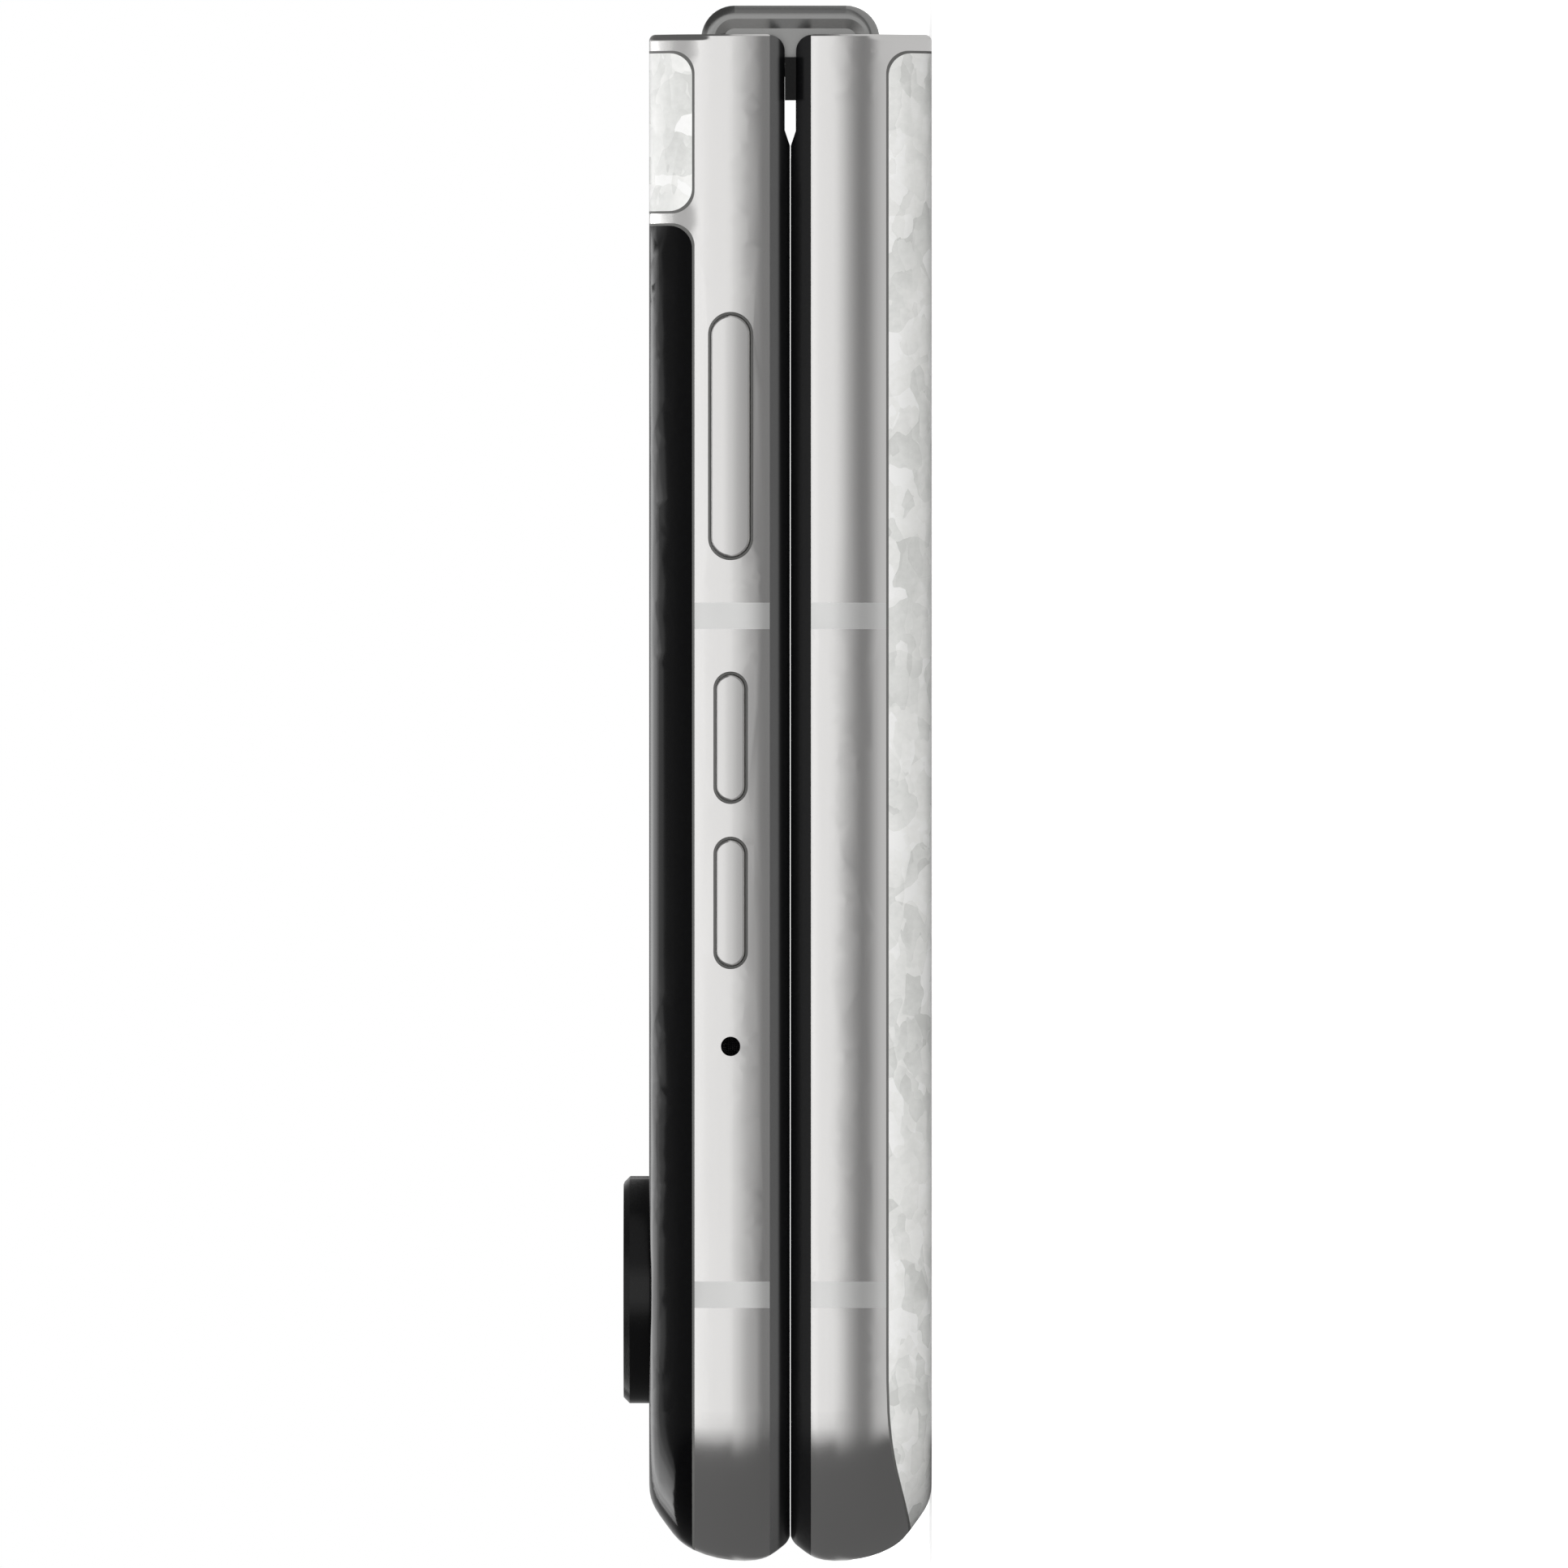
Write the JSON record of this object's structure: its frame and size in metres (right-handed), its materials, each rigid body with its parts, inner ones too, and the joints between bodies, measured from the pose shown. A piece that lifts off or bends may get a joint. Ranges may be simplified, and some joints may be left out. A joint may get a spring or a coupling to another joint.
{
  "type": "folding clamshell phone",
  "caption": "Clamshell folding phone, closed, with a pearl back, metal frame, raised camera rings, side buttons and a geared two-axis hinge that opens flat.",
  "frame": {"origin": "under the middle of the closed phone, in the plane of the base half's back", "axes": "+X towards the hinge, +Y away from the buttons, +Z from the base half to the lid half"},
  "size_m": [0.0882, 0.074, 0.0175],
  "materials": {
    "frame_metal": "fine blasted and polished aluminium",
    "spine_metal": "polished aluminium",
    "pearl": "pearl acetate, clear gloss",
    "rim": "dark satin plastic",
    "band": "grey plastic insert",
    "rubber": "soft black",
    "seal": "dark adhesive",
    "steel": "stamped steel",
    "screen": "flexible screen with a clear top film",
    "cover_glass": "black backed cover glass",
    "cover_display": "display panel",
    "cell": "pouch foil",
    "board": "solder resist",
    "shield": "pressed can",
    "dark_plastic": "moulded",
    "copper": "wound copper",
    "magnet": "nickel plated",
    "gear_steel": "sintered steel",
    "ring": "black anodised",
    "lens": "coated glass",
    "flash": "clear diffuser"
  },
  "bodies": {
    "base": {"base_frame": "frame_metal", "base_back_panel": "pearl", "base_panel_seal": "seal", "base_bezel": "rim", "base_antenna_bands": "band", "base_display_plate": "steel", "base_plate_screws": "steel", "base_screen": "screen", "base_battery": "cell", "base_lower_board": "board", "usb_port": "steel", "loudspeaker": "dark_plastic", "vibration_motor": "shield", "charging_coil": "copper", "base_magnets": "magnet", "sim_reader": "shield", "base_hinge_arm_left": "steel", "base_hinge_arm_right": "steel", "base_arm_screws": "steel", "base_gears": "gear_steel", "hinge_bumpers": "rubber"},
    "spine": {"spine_cover": "spine_metal", "spine_cap_left": "spine_metal", "spine_cap_right": "spine_metal", "hinge_block_left": "steel", "hinge_block_right": "steel", "fold_support": "steel", "screen_fold": "screen"},
    "lid": {"lid_frame": "frame_metal", "cover_glass": "cover_glass", "lid_back_strip": "pearl", "lid_panel_seals": "seal", "lid_bezel": "rim", "lid_antenna_bands": "band", "lid_display_plate": "steel", "lid_plate_screws": "steel", "lid_screen": "screen", "cover_display": "cover_display", "lid_battery": "cell", "main_board": "board", "board_shields": "shield", "camera_ring_wide": "ring", "camera_lens_wide": "lens", "camera_module_wide": "dark_plastic", "camera_ring_main": "ring", "camera_lens_main": "lens", "camera_module_main": "dark_plastic", "flash": "flash", "selfie_camera": "dark_plastic", "earpiece": "dark_plastic", "lid_magnets": "magnet", "lid_hinge_arm_left": "steel", "lid_hinge_arm_right": "steel", "lid_arm_screws": "steel", "lid_gears": "gear_steel", "button_switches": "dark_plastic"},
    "sim_tray": {"sim_tray": "frame_metal"},
    "power_button": {"power_button": "frame_metal"},
    "volume_up_button": {"volume_up_button": "frame_metal"},
    "volume_down_button": {"volume_down_button": "frame_metal"}
  },
  "joints": [
    {"name": "spine_turn", "type": "hinge", "parent": "base", "child": "spine", "pos_m": [0.04152, 0, 0.00707], "axis": [0, 1, 0], "range_deg": [0, 90]},
    {"name": "lid_turn", "type": "hinge", "parent": "spine", "child": "lid", "pos_m": [0.04152, 0, 0.00893], "axis": [0, 1, 0], "range_deg": [0, 90]},
    {"name": "power_button_press", "type": "slide", "parent": "lid", "child": "power_button", "axis": [0, 1, 0], "range_m": [0, 0.00025], "stiffness_N_per_m": 3000, "springref_m": -0.0002},
    {"name": "volume_up_button_press", "type": "slide", "parent": "lid", "child": "volume_up_button", "axis": [0, 1, 0], "range_m": [0, 0.00025], "stiffness_N_per_m": 3000, "springref_m": -0.0002},
    {"name": "volume_down_button_press", "type": "slide", "parent": "lid", "child": "volume_down_button", "axis": [0, 1, 0], "range_m": [0, 0.00025], "stiffness_N_per_m": 3000, "springref_m": -0.0002},
    {"name": "sim_tray_slide", "type": "slide", "parent": "base", "child": "sim_tray", "axis": [0, 1, 0], "range_m": [0, 0.018]}
  ],
  "couplings": [
    {"joint": "spine_turn", "follows": "lid_turn", "ratio": 1}
  ]
}
